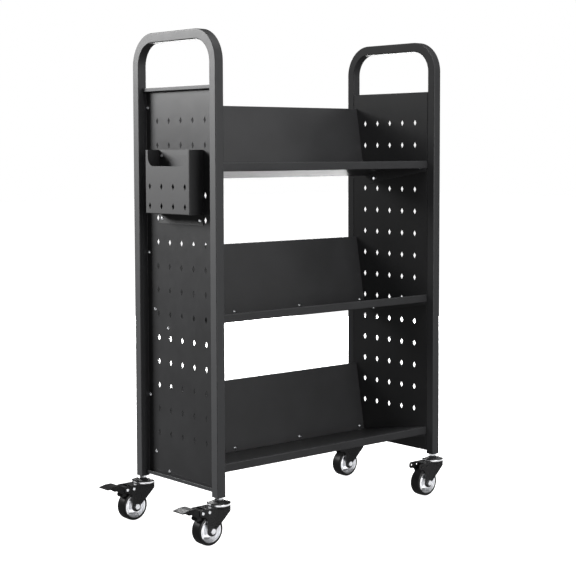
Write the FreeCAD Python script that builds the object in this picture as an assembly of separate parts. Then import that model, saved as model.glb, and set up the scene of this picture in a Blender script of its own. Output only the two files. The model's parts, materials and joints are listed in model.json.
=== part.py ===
import FreeCAD, Part

import math
import os

from FreeCAD import Vector

# Book cart: two bent-tube ends with perforated panels, three tilted shelves between them, a file
# box on the left end, and four swivel casters of which the two on the left have foot brakes.
# Millimetres. +Z is up, -Y is the open front, +X runs from the end with the box to the other end.

# ---- driving dimensions --------------------------------------------------------------------------
CLEAR_LENGTH = 734.0        # between the inner faces of the two ends
END_DEPTH = 345.0           # outside of the front post to outside of the rear post
FRAME_HEIGHT = 1143.0       # foot of a post to the top of its handle
TUBE = 25.0                 # square tube, outside
TUBE_WALL = 1.5
TUBE_CORNER = 2.5           # outside corner radius of the tube
HANDLE_BEND = 70.0          # centre-line radius of the two upper bends

PANEL_SHEET = 1.2
PANEL_FLANGE = 13.0         # depth of the rim folded outward round each end panel
PANEL_LIP = 8.5             # return along the rim's top and bottom edges
PANEL_RISE = 8.0            # foot of the posts to the bottom of the panel
PANEL_HEIGHT = 998.0
HOLE_ROWS = 14
HOLE_COLUMNS = 5
HOLE_ROW_PITCH = 61.6
HOLE_COLUMN_PITCH = 49.7
HOLE_TOP_MARGIN = 84.0      # panel top to the first row of holes
HOLE_WIDTH = 10.0           # diamond holes, side to side
HOLE_HEIGHT = 17.0          # diamond holes, tip to tip

SHELF_NAMES = ("bottom", "middle", "top")
SHELF_FIRST = 75.5          # foot of the posts to the lip of the bottom shelf
SHELF_PITCH = 371.0
SHELF_TILT = 9.8            # degrees, the floor falls towards the back
SHELF_SHEET = 1.5
SHELF_FRONT = 147.0         # the lip stands in line with the rear of the front posts
SHELF_DROP = 43.0           # fall of the floor from its lip to its back
LIP_HEIGHT = 22.0
LIP_RETURN = 8.0
END_FLANGE = 28.0           # depth of the flange under each end of a shelf
END_FLANGE_FRONT = -138.0
END_FLANGE_REAR = 88.0
REAR_FLANGE = 22.0          # flange turned up behind the back plate
REAR_FLANGE_INSET = 8.0     # from the shelf's ends
BACK_SHEET = 1.5
BACK_HEIGHT = 195.0         # along the tilted plate
BACK_TOP_FLANGE = 12.0
BACK_END_FLANGE = 16.0
SIDE_GAP = 0.4              # shelf and back plate to each end panel
PLATE_GAP = 1.3             # back plate to the floor under it, clear of the inside of the fold
PLATE_SCREW_HEIGHT = 11.0   # floor to the screws that hold the back plate to the rear flange
PLATE_SCREW_INSET = 17.0    # outermost of those screws to the end of the plate
END_SCREW_BEHIND = 6.5      # front of a back plate to the screws through its end flange
END_SCREW_TOP = 9.0         # top of a back plate to the upper one of those screws
END_SCREW_LOW = 38.0        # floor to the lower one
FLOOR_SCREW_YS = (59.0, -124.0)
FLOOR_SCREW_DEPTH = 16.0    # floor down to the screws through the flange under its end
SHEET_BEND = 1.2            # inside radius of a fold
SHEET_OVERLAP = 30.0        # length of floor or plate drawn together with each end flange

BOX_WIDTH = 184.0
BOX_HEIGHT = 160.0
BOX_DEPTH = 43.0
BOX_BOTTOM = 689.0          # foot of the posts to the floor of the box
BOX_TAIL = 27.0             # back of the box reaches this far below its floor
BOX_NOTCH_DEPTH = 41.0
BOX_NOTCH_CORNER = 24.0
BOX_HORN = 10.0             # strip left at each side of the notch
BOX_HOLE_PITCH = 49.0
BOX_HOLE_ROWS = (19.5, 68.5)
BOX_SCREW_Y = 79.0
BOX_SCREW_DEPTH = 15.0      # rim of the box to the upper screws
BOX_SCREW_DROP = 14.0       # floor of the box to the lower screws
BOX_CLEARANCE_R = 6.0       # hole in the back of the box round the head of a shelf's screw

SCREW_R = 2.0
SCREW_HOLE_R = 2.2
SCREW_HEAD_R = 4.6
SCREW_HEAD = 2.6
SCREW_CROSS = 4.4           # length of each arm of the recess
SCREW_SLOT = 0.9
SCREW_SLOT_DEPTH = 1.6
SCREW_END = 1.0             # shank past its nut
NUT_FLATS = 7.0
NUT_THICK = 3.2

CASTER_HEIGHT = 112.0       # floor to the foot of a post
WHEEL_R = 37.5
WHEEL_WIDTH = 32.0
TREAD_SHOULDER = 4.5
RIM_R = 30.5
TRAIL = 36.0                # swivel axis to wheel axle
STEM_R = 6.0
STEM_NUT = 6.0
STEM_NUT_FLATS = 18.0
STEM_LENGTH = 25.0          # above the foot of the post
RIVET_R = 9.0               # head that holds the fork up on the stem
RIVET_HEAD = 3.0
INSERT_LENGTH = 30.0
DOME_R = 30.0
DOME_TOP_R = 13.0
DOME_HEIGHT = 6.7
DOME_EDGE = 1.6
RACE_R = 29.0
RACE_WALL = 3.5
RACE_HEIGHT = 5.5
BALL_R = 2.7
BALL_COUNT = 20
BALL_CIRCLE_R = 22.0
FORK_SHEET = 2.5
FORK_HALF = 20.5            # half the width over the fork's legs
FORK_ARM = 9.0              # half the height of the arms at the brake pin
FORK_FOOT = 13.0            # half the length of a leg at the axle
FORK_FLARE = 9.0            # height over which the legs widen into the round head
AXLE_R = 4.0
AXLE_FLATS = 13.0
AXLE_HEAD = 5.5
AXLE_NUT = 6.5
BEARING_R = 11.0
BEARING_WIDTH = 7.0
BEARING_FACE = 17.0         # outer face of a bearing to the middle of the wheel
BOSS_R = 14.0
BRAKE_PIN = (-64.0, 85.0)   # x from the swivel axis, height above the floor
STOP_PIN = (-44.0, 85.0)
PIN_R = 2.5
PEDAL_REACH = 125.0         # swivel axis to the tip of the pedal
PEDAL_SHEET = 2.2
PEDAL_HALF = 20.0           # half the width of the tread
PEDAL_EAR_HALF = 17.6       # half the width over the ears between the fork's legs
PEDAL_SHOULDER = 11.5       # pivot to where the ears widen into the tread
PEDAL_TRAVEL = 25.0         # degrees from free to locked
SHOE_WIDTH = 24.0
SHOE_PAD = 6.0
SHOE_SWEEP = 17.0           # degrees of the tread that the shoe covers
SHOE_EYE_R = 3.6
PIN_HEAD_R = 4.0
PIN_HEAD = 1.6
RIM_WALL = 3.0
RIM_INSET = 0.5             # edge of the rim to the side of the tyre
WEB_HALF = 5.0
RUNNING = 0.05              # radial clearance of a running fit
GAP = 0.3                   # clearance between moving faces

# ---- worked out from those -----------------------------------------------------------------------
INNER_X = CLEAR_LENGTH / 2
POST_X = INNER_X + TUBE / 2
POST_Y = (END_DEPTH - TUBE) / 2
INNER_Y = END_DEPTH / 2 - TUBE
FOOT_Z = CASTER_HEIGHT
PANEL_TOP = FOOT_Z + PANEL_RISE + PANEL_HEIGHT
BOX_FLOOR = FOOT_Z + BOX_BOTTOM
TILT = math.radians(SHELF_TILT)
FLOOR_LENGTH = SHELF_DROP / math.sin(TILT)
JUNCTION_Y = FLOOR_LENGTH * math.cos(TILT) - SHELF_FRONT
FORK_TOP = FOOT_Z - STEM_NUT - DOME_HEIGHT - GAP - RACE_HEIGHT
DOME_FOOT = FORK_TOP + RACE_HEIGHT + GAP
AXLE_Z = WHEEL_R
# The pedals reach further out than the casters at the other end, so the cart's middle stands off
# the middle of the whole object's box, which is the origin.
CART_X = (PEDAL_REACH - DOME_R) / 2


# ---- helpers -------------------------------------------------------------------------------------
def in_plane(plane, a, b, c=0.0):
    """A point at a, b in the named plane and c along the plane's normal."""
    if plane == "YZ":
        return Vector(c, a, b)
    if plane == "XZ":
        return Vector(a, c, b)
    return Vector(a, b, c)


def rounded_wire(outline, plane, offset):
    """Closed wire through (a, b) or (a, b, corner radius) points."""
    count = len(outline)
    flat = [Vector(point[0], point[1], 0) for point in outline]
    radii = [point[2] if len(point) > 2 else 0.0 for point in outline]
    corners = []
    for i in range(count):
        before = (flat[i - 1] - flat[i]).normalize()
        after = (flat[(i + 1) % count] - flat[i]).normalize()
        half = before.getAngle(after) / 2
        reach = radii[i] / math.tan(half)
        if reach < 0.01:
            corners.append((flat[i], None, flat[i]))
            continue
        centre = flat[i] + (before + after).normalize() * (radii[i] / math.sin(half))
        middle = centre + (flat[i] - centre).normalize() * radii[i]
        corners.append((flat[i] + before * reach, middle, flat[i] + after * reach))
    edges = []
    for i, (start, middle, end) in enumerate(corners):
        if middle is not None:
            points = [in_plane(plane, p.x, p.y, offset) for p in (start, middle, end)]
            edges.append(Part.Arc(*points).toShape())
        following = corners[(i + 1) % count][0]
        if (following - end).Length > 0.001:
            line = [in_plane(plane, p.x, p.y, offset) for p in (end, following)]
            edges.append(Part.LineSegment(*line).toShape())
    return Part.Wire(edges)


def prism(outline, plane, start, length):
    """Solid of an outline pushed along its plane's normal."""
    face = Part.Face(rounded_wire(outline, plane, start))
    return face.extrude(in_plane(plane, 0, 0, length))


def turned(outline, axis, centre=Vector(0, 0, 0)):
    """Solid of revolution about the Z or Y axis, of (radius, distance along the axis) points."""
    plane = "XZ" if axis == "Z" else "XY"
    face = Part.Face(rounded_wire(outline, plane, 0.0))
    direction = Vector(0, 0, 1) if axis == "Z" else Vector(0, 1, 0)
    solid = face.revolve(Vector(0, 0, 0), direction, 360)
    solid.translate(centre)
    return solid


def folded(points, sheet):
    """Outline of a folded sheet: points run along one side, the other side lies to their left."""
    flat = [Vector(a, b, 0) for a, b in points]
    ahead = [(flat[i + 1] - flat[i]).normalize() for i in range(len(flat) - 1)]
    left = [Vector(-d.y, d.x, 0) for d in ahead]
    near = [(flat[0].x, flat[0].y)]
    first = flat[0] + left[0] * sheet
    far = [(first.x, first.y)]
    for i in range(1, len(flat) - 1):
        turn = ahead[i - 1].cross(ahead[i]).z
        inner, outer = SHEET_BEND, SHEET_BEND + sheet
        near.append((flat[i].x, flat[i].y, outer if turn > 0 else inner))
        corner = flat[i] + (left[i - 1] + left[i]) * (sheet / (1 + left[i - 1].dot(left[i])))
        far.append((corner.x, corner.y, inner if turn > 0 else outer))
    near.append((flat[-1].x, flat[-1].y))
    last = flat[-1] + left[-1] * sheet
    far.append((last.x, last.y))
    return near + far[::-1]


def fused(solids):
    """One clean solid from touching or overlapping ones."""
    return solids[0].multiFuse(solids[1:]).removeSplitter()


def copies(solid, places):
    """Group of copies of one solid, each moved to its own place."""
    group = []
    for place in places:
        one = solid.copy()
        one.Placement = place.multiply(one.Placement)
        group.append(one)
    return Part.makeCompound(group)


def at(x, y, z):
    """Placement at a point, not turned."""
    return FreeCAD.Placement(Vector(x, y, z), FreeCAD.Rotation())


def facing(x, y, z, direction):
    """Placement at a point, with +Z turned to the given direction."""
    return FreeCAD.Placement(Vector(x, y, z), FreeCAD.Rotation(Vector(0, 0, 1), direction))


def hexagon(flats, bottom, height, bore=0.0):
    """Hexagonal prism along Z with rounded-off corners, and a bore where one is given."""
    corner = flats / math.sqrt(3)
    outline = [(corner * math.cos(math.radians(60 * i)), corner * math.sin(math.radians(60 * i)))
               for i in range(6)]
    solid = prism(outline, "XY", bottom, height)
    bevel = (corner - flats / 2) * 0.8
    round_off = [(0, bottom), (corner - bevel, bottom), (corner, bottom + bevel),
                 (corner, bottom + height - bevel), (corner - bevel, bottom + height),
                 (0, bottom + height)]
    solid = solid.common(turned(round_off, "Z"))
    if bore:
        solid = solid.cut(Part.makeCylinder(bore, height, Vector(0, 0, bottom)))
    return solid


def diamonds(centres, through, depth):
    """Diamond-shaped cutters along X from the plane at through."""
    cutters = []
    for y, z in centres:
        outline = [(y - HOLE_WIDTH / 2, z), (y, z + HOLE_HEIGHT / 2),
                   (y + HOLE_WIDTH / 2, z), (y, z - HOLE_HEIGHT / 2)]
        cutters.append(prism(outline, "YZ", through, depth))
    return Part.makeCompound(cutters)


def round_cutters(points, radius, start, length):
    """Round cutters along X at (y, z) points."""
    return Part.makeCompound([Part.makeCylinder(radius, length, Vector(start, y, z), Vector(1, 0, 0))
                              for y, z in points])


# ---- end frames ----------------------------------------------------------------------------------
def arch(section, corner, foot):
    """Inverted U of a square section that follows the posts and the handle."""
    half = section / 2
    bend = HANDLE_BEND
    top = FOOT_Z + FRAME_HEIGHT - TUBE / 2
    outer = [(POST_Y + half, foot), (POST_Y + half, top + half, bend + half),
             (-POST_Y - half, top + half, bend + half), (-POST_Y - half, foot)]
    inner = [(-POST_Y + half, foot), (-POST_Y + half, top - half, bend - half),
             (POST_Y - half, top - half, bend - half), (POST_Y - half, foot)]
    solid = prism(outer + inner, "YZ", -half, section)
    long_edges = [edge for edge in solid.Edges
                  if abs(abs(edge.CenterOfMass.x) - half) < 0.01 and edge.CenterOfMass.z > foot + 1]
    return solid.makeFillet(corner, long_edges)


def end_frame(side):
    """Bent square tube of one end, open at both feet."""
    tube = arch(TUBE, TUBE_CORNER, FOOT_Z)
    inside = arch(TUBE - 2 * TUBE_WALL, TUBE_CORNER - TUBE_WALL, FOOT_Z - 1)
    tube = tube.cut(inside)
    tube.translate(Vector(side * POST_X, 0, 0))
    return tube


# ---- end panels ----------------------------------------------------------------------------------
def shelf_lips():
    return [FOOT_Z + SHELF_FIRST + i * SHELF_PITCH for i in range(len(SHELF_NAMES))]


def back_plate_point(lip, along, behind):
    """Y and Z of a point on a back plate: along it from the shelf floor, and behind its front."""
    y = JUNCTION_Y + along * math.sin(TILT) + behind * math.cos(TILT)
    z = lip - SHELF_DROP + along * math.cos(TILT) - behind * math.sin(TILT)
    return y, z


def floor_point(lip, y, below):
    """Y and Z of a point below the shelf's floor, measured square to it."""
    fall = (y + SHELF_FRONT) * math.tan(TILT)
    return y, lip - fall - below


def end_screw_points():
    """Where the screws go through an end panel into the flanges of the shelves and back plates."""
    points = []
    for lip in shelf_lips():
        for along in (BACK_HEIGHT - END_SCREW_TOP, END_SCREW_LOW):
            points.append(back_plate_point(lip, along, END_SCREW_BEHIND))
        for y in FLOOR_SCREW_YS:
            points.append(floor_point(lip, y, FLOOR_SCREW_DEPTH))
    return points


def box_screw_points():
    """Two screws high inside the file box and two on the tail below it."""
    heights = (BOX_FLOOR + BOX_HEIGHT - BOX_SCREW_DEPTH, BOX_FLOOR - BOX_SCREW_DROP)
    return [(y, z) for z in heights for y in (-BOX_SCREW_Y, BOX_SCREW_Y)]


def side_panel(side):
    """Perforated sheet set between the posts, its inner face flush with them."""
    bottom = FOOT_Z + PANEL_RISE
    rim = PANEL_SHEET
    fold = SHEET_BEND + rim
    tray = Part.makeBox(PANEL_FLANGE, 2 * INNER_Y, PANEL_HEIGHT, Vector(0, -INNER_Y, bottom))
    tray = tray.makeFillet(fold, [edge for edge in tray.Edges if edge.CenterOfMass.x < 0.01])
    hollow = Part.makeBox(PANEL_FLANGE, 2 * (INNER_Y - rim), PANEL_HEIGHT - 2 * rim,
                          Vector(rim, rim - INNER_Y, bottom + rim))
    hollow = hollow.makeFillet(SHEET_BEND, [e for e in hollow.Edges if e.CenterOfMass.x < rim + 0.01])
    sheet = tray.cut(hollow)
    lips = [Part.makeBox(rim, 2 * (INNER_Y - rim), PANEL_LIP,
                         Vector(PANEL_FLANGE - rim, rim - INNER_Y, z))
            for z in (bottom, PANEL_TOP - PANEL_LIP)]
    sheet = fused([sheet] + lips)
    first = PANEL_TOP - HOLE_TOP_MARGIN
    centres = [((column - (HOLE_COLUMNS - 1) / 2) * HOLE_COLUMN_PITCH, first - row * HOLE_ROW_PITCH)
               for row in range(HOLE_ROWS) for column in range(HOLE_COLUMNS)]
    sheet = sheet.cut(diamonds(centres, -1, rim + 2))
    sheet = sheet.cut(round_cutters(end_screw_points(), SCREW_HOLE_R, -1, rim + 2))
    if side < 0:
        sheet = sheet.cut(round_cutters(box_screw_points(), SCREW_HOLE_R, -1, rim + 2))
        sheet = sheet.mirror(Vector(0, 0, 0), Vector(1, 0, 0))
    sheet.translate(Vector(side * INNER_X, 0, 0))
    return sheet


# ---- shelves and their back plates ---------------------------------------------------------------
def seated(shape, lip):
    """Tilt a piece made with its floor level at the origin, and move it to its shelf."""
    shape.rotate(Vector(0, 0, 0), Vector(1, 0, 0), -SHELF_TILT)
    shape.translate(Vector(0, JUNCTION_Y, lip - SHELF_DROP))
    return shape


def plate_screw_xs():
    """Four places along a back plate, evenly spaced."""
    reach = INNER_X - SIDE_GAP - PLATE_SCREW_INSET
    return [reach * step for step in (-1, -1 / 3, 1 / 3, 1)]


def end_fold(side, flange, sheet, turn):
    """Outline of a sheet's last stretch and the flange that turns off its end."""
    half = side * (INNER_X - SIDE_GAP)
    points = [(half - side * SHEET_OVERLAP, 0), (half, 0), (half, flange)]
    return folded(points[::turn], sheet)


def drilled(shape, lip):
    """Cut the screw holes of a shelf or back plate, made level, and then seat it."""
    for x in plate_screw_xs():
        start = Vector(x, -1, PLATE_SCREW_HEIGHT)
        shape = shape.cut(Part.makeCylinder(SCREW_HOLE_R, 6, start, Vector(0, 1, 0)))
    shape = seated(shape, lip)
    return shape.cut(round_cutters(end_screw_points(), SCREW_HOLE_R, -INNER_X, CLEAR_LENGTH))


def shelf_pan(lip):
    """Folded floor with a lip at its front, a flange behind and one under each end."""
    half = INNER_X - SIDE_GAP
    rear = BACK_SHEET + SHELF_SHEET
    down = (math.sin(TILT), -math.cos(TILT))
    inward = (math.cos(TILT), math.sin(TILT))
    lip_foot = (-FLOOR_LENGTH + down[0] * LIP_HEIGHT, down[1] * LIP_HEIGHT)
    lip_end = (lip_foot[0] + inward[0] * LIP_RETURN, lip_foot[1] + inward[1] * LIP_RETURN)
    profile = folded([lip_end, lip_foot, (-FLOOR_LENGTH, 0), (0, 0)][::-1], SHELF_SHEET)
    pan = prism(profile, "YZ", -half, 2 * half)
    back = folded([(-SHEET_OVERLAP, -SHELF_SHEET), (rear, -SHELF_SHEET), (rear, REAR_FLANGE)],
                  SHELF_SHEET)
    turned_up = prism(back, "YZ", REAR_FLANGE_INSET - half, 2 * (half - REAR_FLANGE_INSET))
    front = (END_FLANGE_FRONT - JUNCTION_Y) / math.cos(TILT)
    length = (END_FLANGE_REAR - END_FLANGE_FRONT) / math.cos(TILT)
    ends = [prism(end_fold(side, -END_FLANGE, SHELF_SHEET, -side), "XZ", front, length)
            for side in (-1, 1)]
    return drilled(fused([pan, turned_up] + ends), lip)


def back_plate(lip):
    """Plate that stands square on the shelf's floor, folded back at its top and its ends."""
    half = INNER_X - SIDE_GAP
    profile = folded([(BACK_TOP_FLANGE, BACK_HEIGHT), (0, BACK_HEIGHT), (0, PLATE_GAP)], BACK_SHEET)
    plate = prism(profile, "YZ", -half, 2 * half)
    under_fold = BACK_HEIGHT - BACK_SHEET - SHEET_BEND - PLATE_GAP
    ends = [prism(end_fold(side, BACK_END_FLANGE, BACK_SHEET, side), "XY", PLATE_GAP, under_fold)
            for side in (-1, 1)]
    return drilled(fused([plate] + ends), lip)


# ---- file box ------------------------------------------------------------------------------------
def file_box():
    """Open-topped box with a notched front, its back reaching below the floor for two screws."""
    rim = PANEL_SHEET
    half = BOX_WIDTH / 2
    top = BOX_FLOOR + BOX_HEIGHT
    face = -INNER_X - rim
    fold = SHEET_BEND + rim
    outer = Part.makeBox(BOX_DEPTH, BOX_WIDTH, BOX_HEIGHT, Vector(face - BOX_DEPTH, -half, BOX_FLOOR))
    folds = [e for e in outer.Edges if e.CenterOfMass.x < face - BOX_DEPTH + 0.01 and
             e.CenterOfMass.z < top - 0.01]
    outer = outer.makeFillet(fold, folds)
    inner = Part.makeBox(BOX_DEPTH - 2 * rim, BOX_WIDTH - 2 * rim, BOX_HEIGHT,
                         Vector(face - BOX_DEPTH + rim, rim - half, BOX_FLOOR + rim))
    box = outer.cut(inner)
    tail = Part.makeBox(rim, BOX_WIDTH, BOX_TAIL, Vector(face - rim, -half, BOX_FLOOR - BOX_TAIL))
    box = fused([box, tail])
    wide = half - BOX_HORN
    notch = [(-wide, top + 1), (-wide, top - BOX_NOTCH_DEPTH, BOX_NOTCH_CORNER),
             (wide, top - BOX_NOTCH_DEPTH, BOX_NOTCH_CORNER), (wide, top + 1)]
    box = box.cut(prism(notch, "YZ", face - BOX_DEPTH - 1, rim + 2))
    centres = [((i - 1.5) * BOX_HOLE_PITCH, BOX_FLOOR + z) for z in BOX_HOLE_ROWS for i in range(4)]
    box = box.cut(diamonds(centres, face - BOX_DEPTH - 1, rim + 2))
    behind = [(y, z) for y, z in end_screw_points() if abs(y) < half and BOX_FLOOR < z < top]
    box = box.cut(round_cutters(behind, BOX_CLEARANCE_R, face - rim - 1, rim + 2))
    return box.cut(round_cutters(box_screw_points(), SCREW_HOLE_R, face - rim - 1, rim + 2))


# ---- fasteners -----------------------------------------------------------------------------------
def screw(grip):
    """Pan-head screw with a cross recess, its head on +Z and its shank through the grip."""
    crown = SCREW_HEAD_R * 0.55
    head = turned([(0, 0), (SCREW_HEAD_R, 0), (SCREW_HEAD_R, 0.8, 0.5), (crown, SCREW_HEAD, 2),
                   (0, SCREW_HEAD)], "Z")
    length = grip + NUT_THICK + SCREW_END
    shank = Part.makeCylinder(SCREW_R, length, Vector(0, 0, -length))
    floor = SCREW_HEAD - SCREW_SLOT_DEPTH
    cross = []
    for width, depth in ((SCREW_CROSS, SCREW_SLOT), (SCREW_SLOT, SCREW_CROSS)):
        corner = Vector(-width / 2, -depth / 2, floor)
        cross.append(Part.makeBox(width, depth, SCREW_SLOT_DEPTH, corner))
    return fused([head, shank]).cut(fused(cross))


def nut(grip):
    """Hexagonal nut on the far side of the grip."""
    return hexagon(NUT_FLATS, -grip - NUT_THICK, NUT_THICK, SCREW_R)


def end_places():
    """Placements on the outside of both end panels, +Z pointing outward."""
    face = INNER_X + PANEL_SHEET
    return [facing(side * face, y, z, Vector(side, 0, 0))
            for side in (-1, 1) for y, z in end_screw_points()]


def plate_places():
    """Placements on the front of the back plates, +Z pointing out of the plate."""
    forward = Vector(0, -math.cos(TILT), math.sin(TILT))
    places = []
    for lip in shelf_lips():
        y, z = back_plate_point(lip, 11.0, 0)
        places += [facing(x, y, z, forward) for x in plate_screw_xs()]
    return places


def box_places():
    """Placements on the back of the file box, +Z pointing outward."""
    return [facing(-INNER_X - 2 * PANEL_SHEET, y, z, Vector(-1, 0, 0)) for y, z in box_screw_points()]


# ---- casters, each made about its swivel axis at the origin, trailing towards -X ------------------
def caster_stem():
    """Threaded stem with the rivet head that holds the fork up to it."""
    top = FOOT_Z + STEM_LENGTH
    under = FORK_TOP - FORK_SHEET - GAP
    foot = under - RIVET_HEAD
    return turned([(0, foot), (RIVET_R, foot, 1), (RIVET_R, under, 1), (STEM_R, under),
                   (STEM_R, top, 1), (0, top)], "Z")


def stem_nut():
    """Hexagon nut that locks the stem against the foot of the post."""
    return hexagon(STEM_NUT_FLATS, FOOT_Z - STEM_NUT, STEM_NUT, STEM_R)


def stem_insert():
    """Square plug in the foot of a post, bored for the stem."""
    width = TUBE - 2 * TUBE_WALL
    block = Part.makeBox(width, width, INSERT_LENGTH, Vector(-width / 2, -width / 2, FOOT_Z))
    block = block.makeFillet(TUBE_CORNER - TUBE_WALL,
                             [e for e in block.Edges if abs(e.Length - INSERT_LENGTH) < 0.01])
    return block.cut(Part.makeCylinder(STEM_R, INSERT_LENGTH, Vector(0, 0, FOOT_Z)))


def upper_race():
    """Domed disc fixed to the stem above the balls."""
    top = DOME_FOOT + DOME_HEIGHT
    return turned([(STEM_R, DOME_FOOT), (DOME_R, DOME_FOOT, 0.5), (DOME_R, DOME_FOOT + DOME_EDGE, 1),
                   (DOME_TOP_R, top, 2), (STEM_R, top)], "Z")


def race_ring():
    """Zinc-plated ring on the fork that keeps the balls in."""
    top = FORK_TOP + RACE_HEIGHT
    return turned([(RACE_R - RACE_WALL, FORK_TOP), (RACE_R, FORK_TOP, 0.8), (RACE_R, top, 1.5),
                   (RACE_R - RACE_WALL, top)], "Z")


def swivel_balls():
    """Ring of balls between the fork's head and the domed race."""
    ball = Part.makeSphere(BALL_R)
    places = []
    for i in range(BALL_COUNT):
        angle = 2 * math.pi * i / BALL_COUNT
        places.append(at(BALL_CIRCLE_R * math.cos(angle), BALL_CIRCLE_R * math.sin(angle),
                         FORK_TOP + BALL_R))
    return copies(ball, places)


def fork():
    """Pressed fork: a head under the race, two legs to the axle, and arms back to the brake pin."""
    px, pz = BRAKE_PIN
    front = FORK_FOOT - TRAIL
    back = -FORK_FOOT - TRAIL
    tip = px - FORK_ARM
    foot = AXLE_Z - FORK_FOOT
    round_arm = FORK_ARM - 1
    side = [(RACE_R, FORK_TOP), (RACE_R, FORK_TOP - 7, 2), (-8, 52, 40), (front, AXLE_Z + 2, 6),
            (front - 1, foot, 10), (back, foot, 12), (back, 57, 18), (back - 4, pz - FORK_ARM, 12),
            (tip, pz - FORK_ARM, round_arm), (tip, FORK_TOP, round_arm)]
    body = prism(side, "XZ", -FORK_HALF, 2 * FORK_HALF)
    round_front = Part.makeCylinder(RACE_R, FORK_TOP)
    behind = Part.makeBox(PEDAL_REACH, 2 * FORK_HALF, FORK_TOP, Vector(-PEDAL_REACH, -FORK_HALF, 0))
    body = body.common(fused([round_front, behind]))
    neck = FORK_TOP - 2
    flare = Part.makeCone(FORK_HALF - 1, RACE_R, FORK_FLARE, Vector(0, 0, neck - FORK_FLARE))
    head = Part.makeCylinder(RACE_R, FORK_TOP - neck, Vector(0, 0, neck))
    body = fused([body, flare, head])
    inner = FORK_HALF - FORK_SHEET
    roof = FORK_TOP - FORK_SHEET
    between = Part.makeBox(2 * RACE_R, 2 * inner, roof, Vector(-RACE_R, -inner, 0))
    round_cavity = Part.makeCylinder(RACE_R - FORK_SHEET, roof).common(between)
    cavity = Part.makeBox(PEDAL_REACH, 2 * inner, roof, Vector(-PEDAL_REACH, -inner, 0))
    open_back = Part.makeBox(PEDAL_REACH, 2 * inner, FORK_TOP, Vector(-PEDAL_REACH - 50, -inner, 0))
    body = body.cut(fused([cavity, round_cavity])).cut(open_back)
    holes = [Part.makeCylinder(STEM_R + RUNNING, FORK_TOP)]
    for radius, (x, z) in ((AXLE_R, (-TRAIL, AXLE_Z)), (PIN_R, BRAKE_PIN), (PIN_R, STOP_PIN)):
        holes.append(Part.makeCylinder(radius, 2 * RACE_R, Vector(x, -RACE_R, z), Vector(0, 1, 0)))
    return body.cut(Part.makeCompound(holes))


def axle_bolt():
    """Hexagon bolt with its head on the front side of the caster."""
    head = hexagon(AXLE_FLATS, FORK_HALF, AXLE_HEAD)
    end = FORK_HALF + AXLE_NUT + 2
    shank = turned([(0, -end), (AXLE_R, -end, 1), (AXLE_R, FORK_HALF), (0, FORK_HALF)], "Z")
    bolt = fused([head, shank])
    bolt.Placement = facing(-TRAIL, 0, AXLE_Z, Vector(0, -1, 0))
    return bolt


def axle_nut():
    part = hexagon(AXLE_FLATS, FORK_HALF, AXLE_NUT, AXLE_R)
    part.Placement = facing(-TRAIL, 0, AXLE_Z, Vector(0, 1, 0))
    return part


def tyre():
    """Solid tyre with rounded shoulders, moulded on to the rim."""
    half = WHEEL_WIDTH / 2
    return turned([(RIM_R, -half), (WHEEL_R, -half, TREAD_SHOULDER), (WHEEL_R, half, TREAD_SHOULDER),
                   (RIM_R, half)], "Y", Vector(-TRAIL, 0, AXLE_Z))


def wheel_hub():
    """Rim, dished web and boss with a bearing seat at each side."""
    rim_half = WHEEL_WIDTH / 2 - RIM_INSET
    rim_in = RIM_R - RIM_WALL
    seat = BEARING_FACE - BEARING_WIDTH
    half = [(RIM_R, rim_half), (rim_in, rim_half, 0.8), (rim_in - 1.5, WEB_HALF + 3, 3),
            (BOSS_R + 2, WEB_HALF, 3), (BOSS_R, BEARING_FACE, 1), (BEARING_R, BEARING_FACE),
            (BEARING_R, seat), (BEARING_R - 2, seat)]
    mirrored = [(point[0], -point[1]) + tuple(point[2:]) for point in reversed(half)]
    return turned(half + mirrored, "Y", Vector(-TRAIL, 0, AXLE_Z))


def wheel_bearings():
    """Two ball bearings, one at each side of the hub, turning on the axle bolt."""
    inner = AXLE_R + RUNNING
    rings = []
    for side in (-1, 1):
        low, high = sorted((side * BEARING_FACE, side * (BEARING_FACE - BEARING_WIDTH)))
        ring = [(inner, low), (BEARING_R, low, 0.4), (BEARING_R, high, 0.4), (inner, high)]
        rings.append(turned(ring, "Y", Vector(-TRAIL, 0, AXLE_Z)))
    return Part.makeCompound(rings)


def brake_pins():
    """Riveted cross pins of the fork: the pedal's pivot and the stop in front of it."""
    end = FORK_HALF + PIN_HEAD
    pin = turned([(0, -end), (PIN_HEAD_R, -end, 1), (PIN_HEAD_R, -FORK_HALF), (PIN_R, -FORK_HALF),
                  (PIN_R, FORK_HALF), (PIN_HEAD_R, FORK_HALF), (PIN_HEAD_R, end, 1), (0, end)], "Y")
    return copies(pin, [at(x, 0, z) for x, z in (BRAKE_PIN, STOP_PIN)])


def pedal_plan(half_ears, half_tread, shoulder):
    """Block with the pedal's plan: narrow at the pivot, and broad beyond the shoulder."""
    deep = FOOT_Z
    narrow = Part.makeBox(PEDAL_REACH, 2 * half_ears, deep, Vector(shoulder, -half_ears, 0))
    wide = Part.makeBox(PEDAL_REACH, 2 * half_tread, deep, Vector(shoulder - PEDAL_REACH, -half_tread, 0))
    return fused([narrow, wide])


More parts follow.
